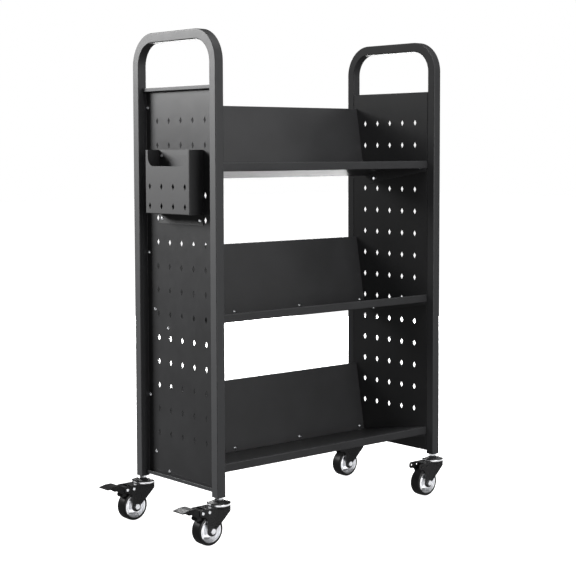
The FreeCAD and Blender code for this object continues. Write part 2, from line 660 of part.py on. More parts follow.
def brake_pedal():
    """Pressed lever: ears on the pivot between the fork's arms, and a broad tread behind them."""
    px, pz = BRAKE_PIN
    front = px + 10
    crest = [(-PEDAL_REACH, 95.5, 1), (-106, 100, 14), (-88, 100, 14), (-72, 92.5, 20), (front, 91, 3)]
    under = [(front, 81, 3), (px + 4, pz - 8.5, 4), (-79, 75.5, 5), (-107, 92.5, 8),
             (-PEDAL_REACH, 95.5 - PEDAL_SHEET, 0.5)]
    shape = prism(crest + under, "XZ", -PEDAL_HALF, 2 * PEDAL_HALF)
    shape = shape.common(pedal_plan(PEDAL_EAR_HALF, PEDAL_HALF, px - PEDAL_SHOULDER))
    roof = [(x, z - PEDAL_SHEET, r - PEDAL_SHEET if r > PEDAL_SHEET else 0) for x, z, r in crest]
    roof[-1] = (front + 2, roof[-1][1])
    roof += [(front + 2, 0), (-PEDAL_REACH, 0)]
    half_in = PEDAL_HALF - PEDAL_SHEET
    hollow = prism(roof, "XZ", -half_in, 2 * half_in)
    plan_in = pedal_plan(PEDAL_EAR_HALF - PEDAL_SHEET, half_in, px - PEDAL_SHOULDER - PEDAL_SHEET)
    shape = shape.cut(hollow.common(plan_in))
    pivot = Part.makeCylinder(PIN_R + RUNNING, 2 * FORK_HALF, Vector(px, -FORK_HALF, pz), Vector(0, 1, 0))
    return shape.cut(pivot)


def brake_shoe():
    """Shoe on the pedal's pivot, shown free: locking turns it down on to the tread."""
    px, pz = BRAKE_PIN
    start = math.atan2(pz - AXLE_Z, px + TRAIL)
    sweep = math.radians(SHOE_SWEEP)
    near = WHEEL_R + GAP
    far = near + SHOE_PAD

    def around(radius, angle):
        return Vector(radius * math.cos(angle) - TRAIL, 0, AXLE_Z + radius * math.sin(angle))

    pad = [around(near, start), around(near, start + sweep), around(far, start + sweep),
           around(far, start)]
    edges = [Part.Arc(pad[0], around(near, start + sweep / 2), pad[1]).toShape(),
             Part.LineSegment(pad[1], pad[2]).toShape(),
             Part.Arc(pad[2], around(far, start + sweep / 2), pad[3]).toShape(),
             Part.LineSegment(pad[3], pad[0]).toShape()]
    block = Part.Face(Part.Wire(edges)).extrude(Vector(0, SHOE_WIDTH, 0))
    block.translate(Vector(0, -SHOE_WIDTH / 2, 0))
    across = Vector(0, 1, 0)
    eye = Part.makeCylinder(SHOE_EYE_R, SHOE_WIDTH, Vector(px, -SHOE_WIDTH / 2, pz), across)
    arm = prism([(px - SHOE_EYE_R, pz), (px + SHOE_EYE_R, pz), (pad[3].x, pad[3].z - 1),
                 (pad[2].x, pad[2].z - 1)], "XZ", -SHOE_WIDTH / 2, SHOE_WIDTH)
    bore = Part.makeCylinder(PIN_R + RUNNING, 2 * FORK_HALF, Vector(px, -FORK_HALF, pz), across)
    shoe = fused([block, eye, arm]).cut(bore)
    shoe.rotate(Vector(px, 0, pz), across, PEDAL_TRAVEL)
    return shoe


# ---- the whole cart ------------------------------------------------------------------------------
def caster_places():
    return {
        "front_left": at(-POST_X, -POST_Y, 0),
        "rear_left": at(-POST_X, POST_Y, 0),
        "front_right": at(POST_X, -POST_Y, 0),
        "rear_right": at(POST_X, POST_Y, 0),
    }


def all_nodes():
    sheets = 2 * PANEL_SHEET
    end_grip = PANEL_SHEET + SIDE_GAP + SHELF_SHEET
    plate_grip = BACK_SHEET + SHELF_SHEET
    nodes = {
        "left_end_frame": end_frame(-1),
        "right_end_frame": end_frame(1),
        "left_side_panel": side_panel(-1),
        "right_side_panel": side_panel(1),
        "file_box": file_box(),
        "shelf_end_screws": copies(screw(end_grip), end_places()),
        "shelf_end_nuts": copies(nut(end_grip), end_places()),
        "back_plate_screws": copies(screw(plate_grip), plate_places()),
        "back_plate_nuts": copies(nut(plate_grip), plate_places()),
        "file_box_screws": copies(screw(sheets), box_places()),
        "file_box_nuts": copies(nut(sheets), box_places()),
    }
    for name, lip in zip(SHELF_NAMES, shelf_lips()):
        nodes[name + "_shelf"] = shelf_pan(lip)
        nodes[name + "_back_plate"] = back_plate(lip)
    places = caster_places()
    fixed = {"stem_inserts": stem_insert(), "caster_stems": caster_stem(),
             "stem_nuts": stem_nut(), "upper_races": upper_race()}
    for name, solid in fixed.items():
        nodes[name] = copies(solid, places.values())
    moving = {"fork": fork(), "race_ring": race_ring(), "swivel_balls": swivel_balls(),
              "axle_bolt": axle_bolt(), "axle_nut": axle_nut(), "tyre": tyre(),
              "wheel_hub": wheel_hub(), "wheel_bearings": wheel_bearings()}
    braked = {"brake_pins": brake_pins(), "brake_pedal": brake_pedal(), "brake_shoe": brake_shoe()}
    for corner, place in places.items():
        parts = dict(moving)
        if corner.endswith("left"):
            parts.update(braked)
        for name, solid in parts.items():
            nodes[corner + "_" + name] = copies(solid, [place])
    return nodes


def main():
    os.makedirs("parts", exist_ok=True)
    for name, shape in all_nodes().items():
        shape.translate(Vector(CART_X, 0, 0))
        solids = shape.Solids
        whole = solids[0] if len(solids) == 1 else Part.makeCompound(solids)
        whole.exportStep(os.path.join("parts", name + ".step"))
        print(name, len(solids), "solids", "valid" if whole.isValid() else "INVALID",
              round(whole.Volume, 1))


main()
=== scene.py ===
import json
import math

import bmesh
import bpy
from bpy.props import (FloatProperty, FloatVectorProperty, IntProperty, PointerProperty,
                       StringProperty)
from mathutils import Matrix, Vector

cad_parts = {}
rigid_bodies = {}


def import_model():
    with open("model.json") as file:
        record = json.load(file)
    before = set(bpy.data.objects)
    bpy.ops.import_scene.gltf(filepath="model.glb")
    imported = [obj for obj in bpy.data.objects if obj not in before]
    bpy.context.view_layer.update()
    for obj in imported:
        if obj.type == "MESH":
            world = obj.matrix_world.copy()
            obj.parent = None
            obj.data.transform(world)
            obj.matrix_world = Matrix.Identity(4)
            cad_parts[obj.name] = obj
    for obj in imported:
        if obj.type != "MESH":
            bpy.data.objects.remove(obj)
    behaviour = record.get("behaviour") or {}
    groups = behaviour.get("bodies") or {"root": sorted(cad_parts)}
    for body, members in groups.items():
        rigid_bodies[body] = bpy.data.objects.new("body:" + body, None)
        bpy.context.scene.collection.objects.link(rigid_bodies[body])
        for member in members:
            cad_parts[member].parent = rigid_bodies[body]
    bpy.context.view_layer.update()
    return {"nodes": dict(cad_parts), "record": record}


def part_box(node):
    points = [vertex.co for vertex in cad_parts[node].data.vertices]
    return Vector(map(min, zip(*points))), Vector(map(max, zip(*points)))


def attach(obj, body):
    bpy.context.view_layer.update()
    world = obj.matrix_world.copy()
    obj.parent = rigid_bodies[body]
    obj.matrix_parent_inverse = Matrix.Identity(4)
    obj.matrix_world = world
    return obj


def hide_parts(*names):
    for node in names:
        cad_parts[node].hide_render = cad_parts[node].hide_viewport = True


bl_info = {
    "name": "Book Cart",
    "version": (1, 0, 0),
    "blender": (4, 5, 0),
    "location": "3D View > Sidebar > Book Cart",
    "description": "Finishes the frame of a book cart: tubes, folded sheets, screws and casters",
    "category": "Object",
}

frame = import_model()

MM = 0.001
ENDS = ("left", "right")
SHELVES = ("bottom", "middle", "top")
CORNERS = ("front_left", "rear_left", "front_right", "rear_right")
BRAKED = ("front_left", "rear_left")
Y_AXIS = Vector((0, 1, 0))
Z_AXIS = Vector((0, 0, 1))

SAME_POINT = 1e-6               # vertices of a modelled piece this close are merged
FRAME_SAME_POINT = 2e-6         # the same for the loose triangles of a frame node
SAME_PLANE = 0.3                # degrees: flatter edges of a frame node are dissolved


# ---- measured off the frame ----------------------------------------------------------------------
def span(node):
    """Middle and size of a frame node."""
    low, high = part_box(node)
    return (low + high) / 2, high - low


# ---- modelling helpers ---------------------------------------------------------------------------
def rest():
    """Leave edit mode and deselect everything."""
    if bpy.context.mode != "OBJECT":
        bpy.ops.object.mode_set(mode="OBJECT")
    bpy.ops.object.select_all(action="DESELECT")


def activate(piece):
    """Make one object the only one selected, and active."""
    rest()
    piece.select_set(True)
    bpy.context.view_layer.objects.active = piece


def open_edit(piece, kind):
    """Edit one object with nothing selected in it."""
    activate(piece)
    bpy.ops.object.mode_set(mode="EDIT")
    bpy.ops.mesh.select_mode(type=kind)
    bpy.ops.mesh.select_all(action="DESELECT")


def choose_faces(test):
    """Select the faces of the mesh in edit mode whose centre and normal pass the test."""
    mesh = bpy.context.edit_object.data
    shape = bmesh.from_edit_mesh(mesh)
    chosen = 0
    for face in shape.faces:
        face.select_set(bool(test(face.calc_center_median(), face.normal)))
        chosen += face.select
    bmesh.update_edit_mesh(mesh)
    if not chosen:
        raise RuntimeError("no face of " + bpy.context.edit_object.name + " was there to select")


def push(shift):
    """Extrude what is selected by a shift."""
    bpy.ops.mesh.extrude_region_move(TRANSFORM_OT_translate={"value": shift})


def apply_modifier(piece, kind, **settings):
    """Add a modifier with its settings and apply it."""
    activate(piece)
    added = piece.modifiers.new(kind.title(), kind)
    for name, value in settings.items():
        setattr(added, name, value)
    bpy.ops.object.modifier_apply(modifier=added.name)


def ease_edges(piece, width, rounds, sharper_than=50.0):
    """Round every edge that is sharper than the given angle."""
    apply_modifier(piece, "BEVEL", width=width, segments=rounds, limit_method="ANGLE",
                   angle_limit=math.radians(sharper_than), use_clamp_overlap=False,
                   loop_slide=False, harden_normals=False)


def face_outwards(piece):
    """Merge doubles and turn every face outwards."""
    open_edit(piece, "VERT")
    bpy.ops.mesh.select_all(action="SELECT")
    bpy.ops.mesh.remove_doubles(threshold=SAME_POINT)
    bpy.ops.mesh.normals_make_consistent(inside=False)
    rest()


def settle(piece, name):
    """Put a piece's place into its mesh, so that the object stands at the origin."""
    activate(piece)
    bpy.ops.object.transform_apply(location=True, rotation=True, scale=True)
    piece.name = name
    piece.data.name = name


def smooth(piece, angle):
    """Smooth shading with sharp edges kept."""
    activate(piece)
    bpy.ops.object.shade_smooth_by_angle(angle=math.radians(angle))


def flatten_faces(piece):
    """Let the large flat faces keep their own normals, so that only the rounded edges shade."""
    apply_modifier(piece, "WEIGHTED_NORMAL", mode="FACE_AREA", weight=100, keep_sharp=True)


def finish_piece(piece, name, body, slot, node):
    """Name a piece, give it its finish, hang it on its body and let it stand for a frame node."""
    settle(piece, name)
    piece.data.materials.clear()
    piece.data.materials.append(finish_of(slot))
    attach(piece, body)
    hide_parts(node)


def eased_copy(node, width, rounds=2):
    """Copy of a frame node's sheet or pressing, its cut edges rounded as a coat leaves them.

    Rounding can throw a vertex outwards at a corner, so every vertex is held in the node's box.
    """
    source = frame["nodes"][node]
    piece = bpy.data.objects.new(node + "_finished", source.data.copy())
    bpy.context.scene.collection.objects.link(piece)
    activate(piece)
    if piece.data.has_custom_normals:
        bpy.ops.mesh.customdata_custom_splitnormals_clear()
    open_edit(piece, "VERT")
    bpy.ops.mesh.select_all(action="SELECT")
    bpy.ops.mesh.remove_doubles(threshold=FRAME_SAME_POINT)
    bpy.ops.mesh.dissolve_limited(angle_limit=math.radians(SAME_PLANE))
    bpy.ops.mesh.quads_convert_to_tris(quad_method="BEAUTY", ngon_method="BEAUTY")
    rest()
    ease_edges(piece, width, rounds)
    low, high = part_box(node)
    for vertex in piece.data.vertices:
        held = [min(max(at, least), most) for at, least, most in zip(vertex.co, low, high)]
        vertex.co = Vector(held)
    smooth(piece, 50.0)
    flatten_faces(piece)
    return piece


def lathe(name, centre, axis, steps, sides):
    """Ring-shaped piece drawn up step by step: each step is a radius and a height along the axis.

    The caps of the first and last rings are opened, and the two rings are bridged by the bore.
    """
    turn = Z_AXIS.rotation_difference(axis)
    rest()
    radius, height = steps[0]
    bpy.ops.mesh.primitive_circle_add(vertices=sides, radius=radius, fill_type="NGON",
                                      location=centre + axis * height, rotation=turn.to_euler())
    piece = bpy.context.active_object
    piece.name = name
    bpy.ops.object.transform_apply(location=True, rotation=True, scale=True)
    bpy.ops.object.mode_set(mode="EDIT")
    bpy.ops.mesh.select_mode(type="FACE")
    bpy.ops.mesh.select_all(action="SELECT")
    across = Vector((1, 1, 1)) - Vector((abs(axis.x), abs(axis.y), abs(axis.z)))
    for next_radius, next_height in steps[1:]:
        push(axis * (next_height - height))
        ratio = next_radius / radius
        scale = tuple(ratio if side > 0.5 else 1.0 for side in across)
        bpy.ops.transform.resize(value=scale, center_override=centre + axis * next_height)
        radius, height = next_radius, next_height
    bpy.ops.mesh.select_all(action="DESELECT")
    caps = bmesh.from_edit_mesh(piece.data)
    for face in caps.faces:
        face.select_set(len(face.verts) > 4)
    bmesh.update_edit_mesh(piece.data)
    bpy.ops.mesh.delete(type="FACE")
    bpy.ops.mesh.select_mode(type="EDGE")
    bpy.ops.mesh.select_all(action="DESELECT")
    bpy.ops.mesh.select_non_manifold(extend=False)
    bpy.ops.mesh.bridge_edge_loops()
    rest()
    face_outwards(piece)
    return piece


# ---- materials -----------------------------------------------------------------------------------
FINISH_NAMES = {}               # name of the finish made for each material slot


def linear(code):
    """Linear colour of an sRGB hex value."""
    parts = [int(code[i:i + 2], 16) / 255 for i in (1, 3, 5)]
    rgb = [v / 12.92 if v <= 0.04045 else ((v + 0.055) / 1.055) ** 2.4 for v in parts]
    return (*rgb, 1.0)


def per_metre(millimetres):
    """Noise scale that gives features of this size."""
    return 1.0 / (millimetres * MM)


def add_node(tree, kind, inputs, **settings):
    """Add a shader node, set it, and link or fill its inputs."""
    made = tree.nodes.new(kind)
    for name, value in settings.items():
        setattr(made, name, value)
    for socket, value in inputs.items():
        if isinstance(value, bpy.types.NodeSocket):
            tree.links.new(value, made.inputs[socket])
        else:
            made.inputs[socket].default_value = value
    return made


def new_finish(name):
    """Empty node material: its tree, its surface shader and its object coordinates."""
    finish = bpy.data.materials.new(name)
    finish.use_nodes = True
    tree = finish.node_tree
    tree.nodes.clear()
    shader = tree.nodes.new("ShaderNodeBsdfPrincipled")
    out = tree.nodes.new("ShaderNodeOutputMaterial")
    tree.links.new(shader.outputs["BSDF"], out.inputs["Surface"])
    place = tree.nodes.new("ShaderNodeTexCoord").outputs["Object"]
    return finish, tree, shader, place


def noise(tree, place, millimetres, detail=3.0, rough=0.5):
    """Noise whose features have a real size."""
    made = add_node(tree, "ShaderNodeTexNoise", {"Vector": place, "Scale": per_metre(millimetres),
                                                 "Detail": detail, "Roughness": rough})
    return made.outputs["Fac"]


def ramp(tree, factor, low, high, dark, light):
    """Map a factor from low..high to two grey levels."""
    made = add_node(tree, "ShaderNodeMapRange", {"Value": factor, "From Min": low, "From Max": high,
                                                 "To Min": dark, "To Max": light})
    return made.outputs["Result"]


def mixed(tree, factor, first, second):
    """Mix two colours."""
    made = tree.nodes.new("ShaderNodeMix")
    made.data_type = "RGBA"
    sockets = (made.inputs[0], made.inputs[6], made.inputs[7])
    for socket, value in zip(sockets, (factor, first, second)):
        if isinstance(value, bpy.types.NodeSocket):
            tree.links.new(value, socket)
        else:
            socket.default_value = value
    return made.outputs[2]


def bump(tree, height, depth_mm, strength, under=None):
    """Bump of a real depth, over another one if given."""
    inputs = {"Height": height, "Distance": depth_mm * MM, "Strength": strength}
    if under is not None:
        inputs["Normal"] = under
    return add_node(tree, "ShaderNodeBump", inputs).outputs["Normal"]


def powder_coat(name, colours, roughness, peel_mm):
    """Polyester powder coat, baked on: a soft sheen, faint orange peel, and edges lightened by a
    painted highlight.

    The peel is drawn coarser than the real 1 mm so that it shows. Its depth is 0.05 mm.
    """
    peel_depth = 0.05
    base, mottle_and_highlight = colours.coat, colours.coat_mottle_and_highlight
    finish, tree, shader, place = new_finish(name)
    cloud = noise(tree, place, 90.0, 4.0)
    grain = noise(tree, place, 1.6, 2.0)
    # Painted highlight: sharp edges (high pointiness) are mixed towards the lighter coat colour, in
    # place of the light that the edges catch.
    edge = tree.nodes.new("ShaderNodeNewGeometry").outputs["Pointiness"]
    painted_edge_highlight = ramp(tree, edge, 0.53, 0.60, 0.0, 0.55)
    tone = mixed(tree, ramp(tree, cloud, 0.3, 0.7, 0.0, 0.14), linear(base), linear(mottle_and_highlight))
    shader.inputs["Metallic"].default_value = 0.0
    shader.inputs["IOR"].default_value = 1.52
    tree.links.new(mixed(tree, painted_edge_highlight, tone, linear(mottle_and_highlight)), shader.inputs["Base Color"])
    scuffs = noise(tree, place, 22.0, 5.0, 0.65)
    scuffed = ramp(tree, scuffs, 0.3, 0.75, roughness - 0.015, roughness + 0.03)
    tree.links.new(scuffed, shader.inputs["Roughness"])
    peel = bump(tree, noise(tree, place, peel_mm, 1.0), peel_depth, 0.5)
    tree.links.new(bump(tree, grain, peel_depth * 0.3, 0.3, peel), shader.inputs["Normal"])
    return finish


def gloss_enamel(name, base):
    """Gloss black coat of the casters: stoved enamel that pools smooth, with fine dust in it."""
    finish, tree, shader, place = new_finish(name)
    shader.inputs["Coat Weight"].default_value = 0.4
    shader.inputs["Coat Roughness"].default_value = 0.12
    shader.inputs["IOR"].default_value = 1.5
    tone = mixed(tree, ramp(tree, noise(tree, place, 30.0), 0.35, 0.7, 0.0, 0.5), linear(base),
                 linear("#3a3a3b"))
    tree.links.new(tone, shader.inputs["Base Color"])
    tree.links.new(ramp(tree, noise(tree, place, 12.0, 5.0), 0.3, 0.8, 0.22, 0.36),
                   shader.inputs["Roughness"])
    tree.links.new(bump(tree, noise(tree, place, 2.2, 1.0), 0.03, 0.35), shader.inputs["Normal"])
    return finish


def zinc_plate(name, base, roughness):
    """Bright zinc plate over turned or rolled steel: silvery, a little blue, faintly streaked."""
    finish, tree, shader, place = new_finish(name)
    shader.inputs["Metallic"].default_value = 1.0
    cloud = noise(tree, place, 6.0, 4.0)
    tree.links.new(mixed(tree, cloud, linear(base), linear("#9a9ca0")), shader.inputs["Base Color"])
    tree.links.new(ramp(tree, noise(tree, place, 1.2, 4.0), 0.3, 0.7, roughness, roughness + 0.14),
                   shader.inputs["Roughness"])
    tree.links.new(bump(tree, noise(tree, place, 0.8, 2.0), 0.01, 0.3), shader.inputs["Normal"])
    return finish


def bright_nickel(name):
    """Bright nickel over a pressed steel rim: near mirror, with polishing haze round the axle."""
    finish, tree, shader, place = new_finish(name)
    shader.inputs["Metallic"].default_value = 1.0
    cloud = noise(tree, place, 9.0, 4.0)
    tree.links.new(mixed(tree, cloud, linear("#ececee"), linear("#d8d9dc")),
                   shader.inputs["Base Color"])
    tree.links.new(ramp(tree, noise(tree, place, 5.0, 4.0), 0.3, 0.7, 0.26, 0.34),
                   shader.inputs["Roughness"])
    tree.links.new(bump(tree, noise(tree, place, 6.0, 1.0), 0.01, 0.15), shader.inputs["Normal"])
    return finish


def cast_polyurethane(name):
    """Cast polyurethane tread: smooth and softly glossy, with fine scuffs round the tread."""
    finish, tree, shader, place = new_finish(name)
    shader.inputs["IOR"].default_value = 1.5
    dust = ramp(tree, noise(tree, place, 14.0, 4.0), 0.45, 0.8, 0.0, 0.4)
    dusty = mixed(tree, dust, linear("#262627"), linear("#424241"))
    tree.links.new(dusty, shader.inputs["Base Color"])
    tree.links.new(ramp(tree, noise(tree, place, 4.0, 6.0, 0.7), 0.3, 0.75, 0.28, 0.48),
                   shader.inputs["Roughness"])
    tree.links.new(bump(tree, noise(tree, place, 1.4, 3.0), 0.03, 0.3), shader.inputs["Normal"])
    return finish


def moulded_nylon(name, base, roughness):
    """Injection-moulded nylon: an even spark-eroded texture with flow clouds in its sheen."""
    finish, tree, shader, place = new_finish(name)
    shader.inputs["IOR"].default_value = 1.53
    cloud = noise(tree, place, 18.0)
    flow = ramp(tree, cloud, 0.3, 0.7, 0.0, 0.4)
    tree.links.new(mixed(tree, flow, linear(base), linear("#323233")), shader.inputs["Base Color"])
    tree.links.new(ramp(tree, cloud, 0.3, 0.7, roughness - 0.05, roughness + 0.08),
                   shader.inputs["Roughness"])
    tree.links.new(bump(tree, noise(tree, place, 0.9, 2.0), 0.02, 0.4), shader.inputs["Normal"])
    return finish


def pale_paper(name):
    """Seamless studio paper: white, matt, with a fibre so fine that it only softens the light."""
    finish, tree, shader, place = new_finish(name)
    shader.inputs["Roughness"].default_value = 0.9
    shader.inputs["Specular IOR Level"].default_value = 0.1
    shader.inputs["Emission Color"].default_value = (1.0, 1.0, 1.0, 1.0)
    shader.inputs["Emission Strength"].default_value = 1.0
    fibre = mixed(tree, noise(tree, place, 8.0, 4.0), linear("#fbfbfb"), linear("#f5f5f5"))
    tree.links.new(fibre, shader.inputs["Base Color"])
    return finish


def make_finishes(colours):
    """Every finish of the cart, by the frame's material slot."""
    return {
        "tube_coat": powder_coat("powder_coat_matt_black", colours, roughness=0.52, peel_mm=2.6),
        "sheet_coat": powder_coat("powder_coat_satin_black", colours, roughness=0.35, peel_mm=2.2),
        "caster_coat": gloss_enamel("gloss_enamel_black", "#2b2b2c"),
        "fastener_zinc": zinc_plate("bright_zinc_plate", "#e9eaec", 0.20),
        "race_zinc": zinc_plate("polished_zinc_ring", "#f2f2f3", 0.16),
        "bearing_steel": zinc_plate("ground_bearing_steel", "#c9cacd", 0.24),
        "hub_chrome": bright_nickel("bright_nickel_rim"),
        "tyre_rubber": cast_polyurethane("cast_polyurethane_tread"),
        "pedal_plastic": gloss_enamel("gloss_enamel_pedal", "#171718"),
        "shoe_rubber": moulded_nylon("matt_black_shoe", "#1d1d1e", 0.62),
        "insert_plastic": moulded_nylon("black_nylon_insert", "#1e1e1f", 0.55),
    }


def finish_of(slot):
    """Finish made for a material slot."""
    return bpy.data.materials[FINISH_NAMES[slot]]


# ---- settings ------------------------------------------------------------------------------------
class CartColours(bpy.types.PropertyGroup):
    coat: StringProperty(name="Coat", default="#2c2c2d",
                         description="Colour of the powder coat, sRGB")
    # Lighter coat colour: used for the random mottle and for the painted highlight on sharp edges.
    coat_mottle_and_highlight: StringProperty(name="Mottle and edge highlight", default="#47484a",
                              description="Colour of the mottle and of the painted highlight on edges, sRGB")


class CartSizes(bpy.types.PropertyGroup):
    handle_bend: FloatProperty(name="Handle bend", default=0.070, unit="LENGTH",
                               description="Centre-line radius of the handle's bends")
    tube_corner: FloatProperty(name="Tube corner", default=0.0025, unit="LENGTH",
                               description="Outside corner radius of the square tube")
    tube_wall: FloatProperty(name="Tube wall", default=0.0015, unit="LENGTH",
                             description="Wall of the square tube")
    bend_steps: IntProperty(name="Bend steps", default=28, min=8,
                            description="Segments round each bend of the handle")
    sheet_ease: FloatProperty(name="Sheet edge", default=0.00025, unit="LENGTH",
                              description="Rounding of cut sheet edges under the coat")
    wheel_sides: IntProperty(name="Wheel sides", default=96, min=24,
                             description="Segments round a wheel")
    hub_windows: IntProperty(name="Hub windows", default=6, min=3,
                             description="Recesses round the face of a hub")


class CartStudio(bpy.types.PropertyGroup):
    key_power: FloatProperty(name="Key", default=312.0, unit="POWER",
                             description="Power of the key light")
    rear_power: FloatProperty(name="Rear", default=40.0, unit="POWER",
                              description="Power of the rear light")
    fill_power: FloatProperty(name="Fill", default=96.0, unit="POWER",
                              description="Power of the fill light")
    shelf_power: FloatProperty(name="Shelves", default=62.0, unit="POWER",
                               description="Power of the light that reaches into the shelves")
    card_power: FloatProperty(name="Cards", default=95.0, unit="POWER",
                              description="Power of the white cards that the bare metal mirrors")
    front_power: FloatProperty(name="Front", default=8.0, unit="POWER",
                               description="Power of the front light")
    top_power: FloatProperty(name="Top", default=40.0, unit="POWER",
                             description="Power of the overhead light")
    back_power: FloatProperty(name="Back", default=265.0, unit="POWER",
                              description="Power of the light behind")
    camera_place: FloatVectorProperty(name="Camera", default=(-2.444, -2.8666, 0.962), size=3,
                                      subtype="TRANSLATION",
                                      description="Where the camera stands")
    camera_yaw: FloatProperty(name="Yaw", default=math.radians(40.828), subtype="ANGLE",
                              description="Turn of the view from +Y towards +X")
    camera_pitch: FloatProperty(name="Pitch", default=math.radians(-3.971), subtype="ANGLE",
                                description="Tilt of the view above the horizon")
    camera_roll: FloatProperty(name="Roll", default=math.radians(-0.158), subtype="ANGLE",
                               description="Turn of the view about its own axis")
    camera_lens: FloatProperty(name="Lens", default=88.75, unit="CAMERA",
                               description="Focal length in millimetres")
    camera_shift: FloatProperty(name="Shift", default=-0.07,
                                description="Upward shift of the lens")


# ---- pieces --------------------------------------------------------------------------------------
class CART_OT_finishes(bpy.types.Operator):
    """Make every finish and put it on the frame's nodes."""
    bl_idname = "cart.finishes"
    bl_label = "Finishes"

    def execute(self, context):
        made = make_finishes(context.scene.cart_colours)
        for slot, finish in made.items():
            FINISH_NAMES[slot] = finish.name
        for item in frame["record"]["subparts"]:
            node = frame["nodes"][item["node"]]
            for place in node.material_slots:
                place.material = made[item["material_slot"]]
        return {"FINISHED"}


class CART_OT_end_tubes(bpy.types.Operator):
    """Bend each end's square tube: up one post, round the handle and down the other."""
    bl_idname = "cart.end_tubes"
    bl_label = "End tubes"

    def execute(self, context):
        sizes = context.scene.cart_sizes
        for end in ENDS:
            node = end + "_end_frame"
            low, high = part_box(node)
            tube = high.x - low.x
            middle_x = (low.x + high.x) / 2
            post_y = high.y - tube / 2
            rise = high.z - tube / 2 - sizes.handle_bend - low.z
            flat = 2 * (post_y - sizes.handle_bend)
            rest()
            bpy.ops.mesh.primitive_plane_add(size=tube, location=(middle_x, -post_y, low.z))
            piece = bpy.context.active_object
            bpy.ops.object.transform_apply(location=True, rotation=True, scale=True)
            open_edit(piece, "VERT")
            bpy.ops.mesh.select_all(action="SELECT")
            bpy.ops.mesh.bevel(affect="VERTICES", offset=sizes.tube_corner, segments=5)
            bpy.ops.mesh.select_mode(type="FACE")
            bpy.ops.mesh.select_all(action="SELECT")
            push((0, 0, rise))
            bend_z = low.z + rise
            bpy.ops.mesh.spin(steps=sizes.bend_steps, angle=math.radians(90), axis=(1, 0, 0),
                              center=(middle_x, -post_y + sizes.handle_bend, bend_z))
            push((0, flat, 0))
            bpy.ops.mesh.spin(steps=sizes.bend_steps, angle=math.radians(90), axis=(1, 0, 0),
                              center=(middle_x, post_y - sizes.handle_bend, bend_z))
            push((0, 0, -rise))
            bpy.ops.mesh.select_all(action="DESELECT")
            choose_faces(lambda centre, normal: centre.z < low.z + 1e-5)
            bpy.ops.mesh.delete(type="FACE")
            face_outwards(piece)
            apply_modifier(piece, "SOLIDIFY", thickness=sizes.tube_wall, offset=-1.0)
            smooth(piece, 40.0)
            flatten_faces(piece)
            finish_piece(piece, end + "_end_tube", "cart", "tube_coat", node)
        return {"FINISHED"}


class CART_OT_folded_sheets(bpy.types.Operator):
    """Round the cut edges of the panels, shelves, back plates and file box."""
    bl_idname = "cart.folded_sheets"
    bl_label = "Folded sheets"

    def execute(self, context):
        width = context.scene.cart_sizes.sheet_ease
        coats = {end + "_side_panel": "sheet_coat" for end in ENDS}
        coats["file_box"] = "tube_coat"
        for shelf in SHELVES:
            coats[shelf + "_shelf"] = "sheet_coat"
            coats[shelf + "_back_plate"] = "sheet_coat"
        for node, coat in coats.items():
            piece = eased_copy(node, width)
            finish_piece(piece, node + "_sheet", "cart", coat, node)
        return {"FINISHED"}


FORK_EDGE = 0.5 * MM            # rounding of the pressed edges
PEDAL_EDGE = 0.7 * MM


class CART_OT_forks(bpy.types.Operator):
    """Round the pressed edges of the casters' forks."""
    bl_idname = "cart.forks"
    bl_label = "Forks"

    def execute(self, context):
        for corner in CORNERS:
            node = corner + "_fork"
            piece = eased_copy(node, FORK_EDGE, 3)
            finish_piece(piece, corner + "_pressed_fork", corner + "_caster", "caster_coat", node)
        return {"FINISHED"}


TREAD_SHOULDER = 4.5 * MM       # radius of a tyre's shoulders
TREAD_CROWN = 0.25 * MM         # rise of the tread from shoulder to middle
PARTING_LINE = 0.45 * MM        # half the width of the ridge that the mould leaves
PARTING_RISE = 0.02 * MM
SHOULDER_STEPS = 6


class CART_OT_tyres(bpy.types.Operator):
    """Turn the tyres: rounded shoulders, a crowned tread and the mould's fine parting line."""
    bl_idname = "cart.tyres"
    bl_label = "Tyres"

    def execute(self, context):
        sides = context.scene.cart_sizes.wheel_sides
        for corner in CORNERS:
            node = corner + "_tyre"
            centre, size = span(node)
            radius = size.z / 2
            half = size.y / 2
            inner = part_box(corner + "_wheel_hub")[1].z - centre.z
            steps = [(inner, -half)]
            for i in range(SHOULDER_STEPS + 1):
                turn = math.radians(90 * i / SHOULDER_STEPS)
                steps.append((radius - TREAD_CROWN - TREAD_SHOULDER * (1 - math.sin(turn)),
                              -half + TREAD_SHOULDER * (1 - math.cos(turn))))
            steps += [(radius - 0.4 * TREAD_CROWN, -half * 0.45),
                      (radius - PARTING_RISE, -PARTING_LINE), (radius, 0.0)]
            steps += [(ring, -height) for ring, height in reversed(steps[:-1])]
            piece = lathe(corner + "_tread", centre, Y_AXIS, steps, sides)
            smooth(piece, 50.0)
            finish_piece(piece, corner + "_tread", corner + "_wheel", "tyre_rubber", node)
        return {"FINISHED"}


RIM_SET_IN = 0.5 * MM           # rim's face behind the tyre's face
BEARING_SEAT = 7 * MM           # depth of the bearing's seat in the boss
BEARING_CLEAR = 0.05 * MM
HUB_EDGE = 0.3 * MM
WINDOW_RINGS = (18.6 * MM, 24.4 * MM)
WINDOW_SHARE = (0.2, 0.8)       # where a window starts and ends in its share of the web
WINDOW_DEPTH = 2.6 * MM
WINDOW_LIP = 0.5 * MM
WINDOW_FLOOR = 0.3 * MM         # how far a window's floor is set in from its walls


